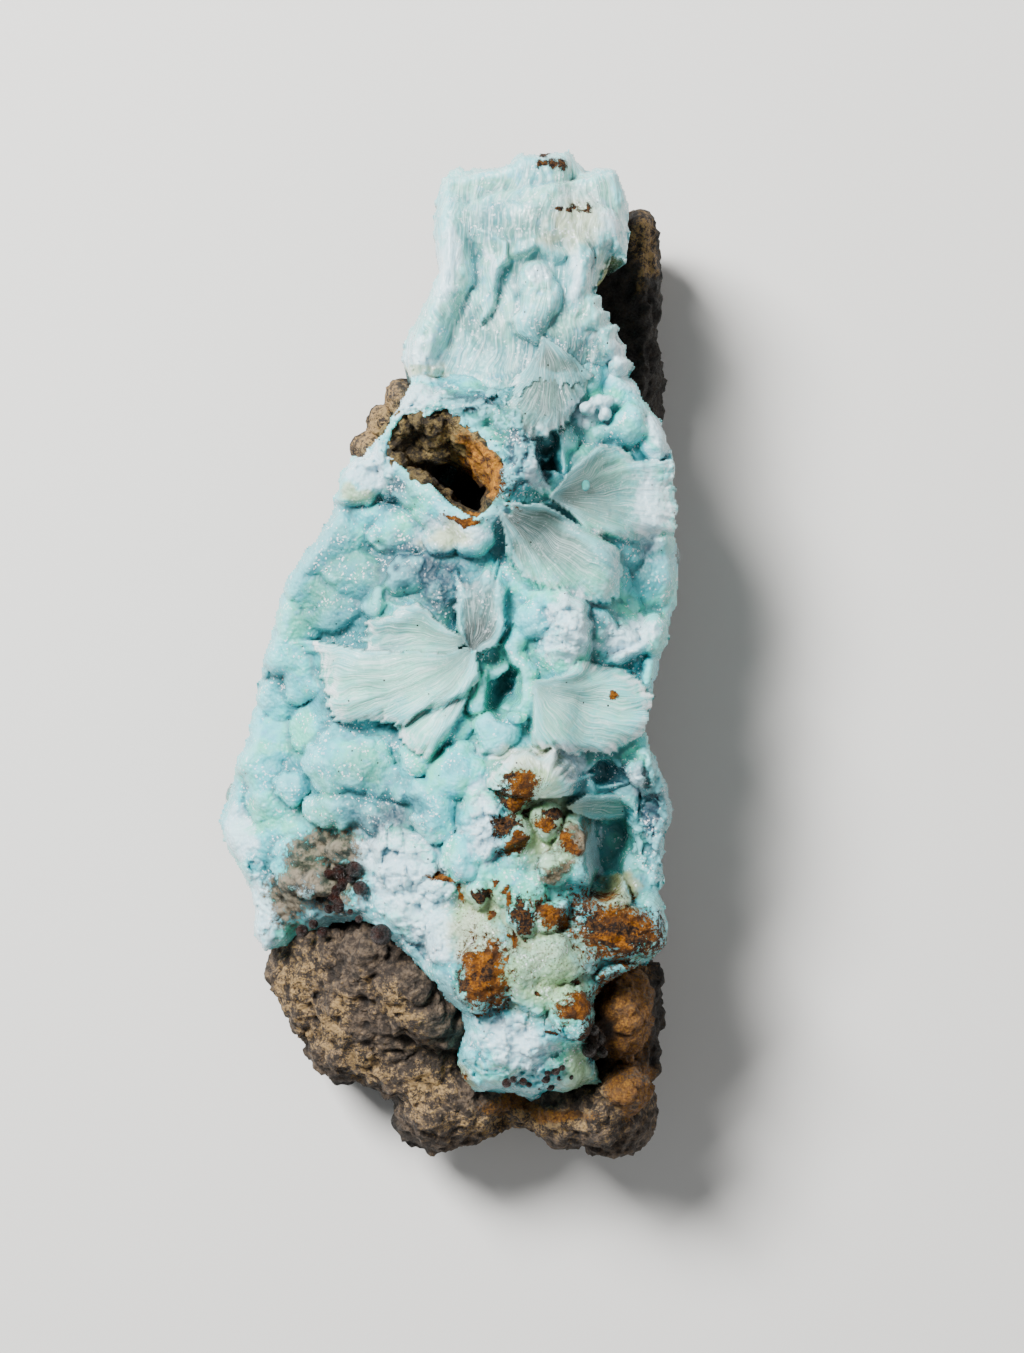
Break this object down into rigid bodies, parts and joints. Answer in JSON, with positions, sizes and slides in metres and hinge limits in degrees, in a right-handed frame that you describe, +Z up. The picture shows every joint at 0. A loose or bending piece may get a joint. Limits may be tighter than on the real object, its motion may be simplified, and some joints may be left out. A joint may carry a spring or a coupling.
{
  "type": "hemimorphite specimen",
  "caption": "A tall piece of brown iron-oxide rock under a pale blue-green crust of grape-like lumps and fan sprays, with a fluted top block and a tube-like hollow",
  "frame": {"origin": "Bottom centre of the bounding box, with the specimen lying on its broken back", "axes": "+Y towards the fluted top block, +X to the right of the front as pictured, +Z up through the crust"},
  "size_m": [0.0563, 0.1205, 0.0433],
  "materials": {
    "iron_oxide_rock": "matt, granular, dark brown with rusty and tan patches",
    "hemimorphite": "waxy and translucent, sparkling with small crystal faces"
  },
  "bodies": {
    "root": {"matrix": "iron_oxide_rock", "hemimorphite_crust": "hemimorphite"}
  },
  "joints": []
}
